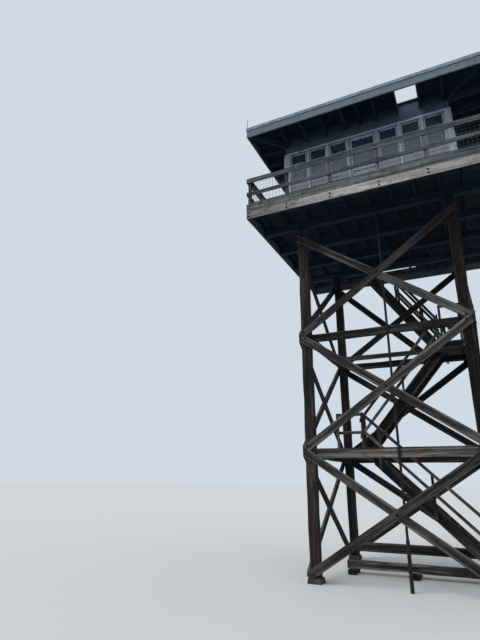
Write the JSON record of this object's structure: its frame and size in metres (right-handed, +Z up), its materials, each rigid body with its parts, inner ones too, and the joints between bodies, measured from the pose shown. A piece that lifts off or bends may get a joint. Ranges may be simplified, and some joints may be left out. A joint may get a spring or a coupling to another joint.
{
  "type": "timber fire lookout tower",
  "caption": "Timber lookout tower on four legs with cross braces, an open zig-zag stair, a railed walkway and a glazed cab under a flat overhanging roof.",
  "frame": {"origin": "Centre of the tower's footprint, on the ground under the footings.", "axes": "+Z is up, +X runs to the right along the front seen in the picture, the front faces -Y."},
  "size_m": [6.572, 6.572, 12.89],
  "materials": {
    "concrete": "rough",
    "leg_timber": "rough",
    "grey_timber": "rough",
    "dark_timber": "rough",
    "pale_timber": "rough",
    "painted_wood": "matt",
    "painted_trim": "matt",
    "painted_fascia": "matt",
    "roofing": "rough",
    "edge_metal": "matt",
    "steel_pipe": "matt",
    "glass": "clear"
  },
  "bodies": {
    "root": {"footings": "concrete", "legs": "leg_timber", "girts": "grey_timber", "girt_plank": "grey_timber", "front_braces": "grey_timber", "back_braces": "grey_timber", "left_braces": "grey_timber", "right_braces": "grey_timber", "standpipe": "steel_pipe", "girt_packer": "grey_timber", "door_hinges": "edge_metal", "ground_sill": "grey_timber", "sill_bearers": "grey_timber", "deck_girders": "dark_timber", "floor_joists": "dark_timber", "walkway_boards": "dark_timber", "cab_floor": "dark_timber", "lower_rim_boards": "pale_timber", "upper_rim_boards": "grey_timber", "railing_posts": "grey_timber", "top_rails": "grey_timber", "upper_rails": "grey_timber", "mid_rails": "grey_timber", "bottom_rails": "grey_timber", "low_walls": "painted_wood", "window_posts": "painted_wood", "wall_trim": "painted_trim", "window_heads": "painted_trim", "wall_bands": "painted_wood", "window_glass": "glass", "window_sashes": "painted_trim", "cab_door": "painted_trim", "door_glass": "glass", "ceiling": "dark_timber", "rafters": "dark_timber", "roof_blocks": "dark_timber", "roof_deck": "roofing", "fascia": "painted_fascia", "roof_edge_strip": "edge_metal", "lightning_rod": "edge_metal", "stair_stringers": "grey_timber", "flight_1_treads": "grey_timber", "flight_2_treads": "grey_timber", "flight_3_treads": "grey_timber", "landing_beams": "grey_timber", "landing_joists": "grey_timber", "landing_boards": "grey_timber", "stair_posts": "grey_timber", "stair_rails": "grey_timber"}
  },
  "joints": []
}
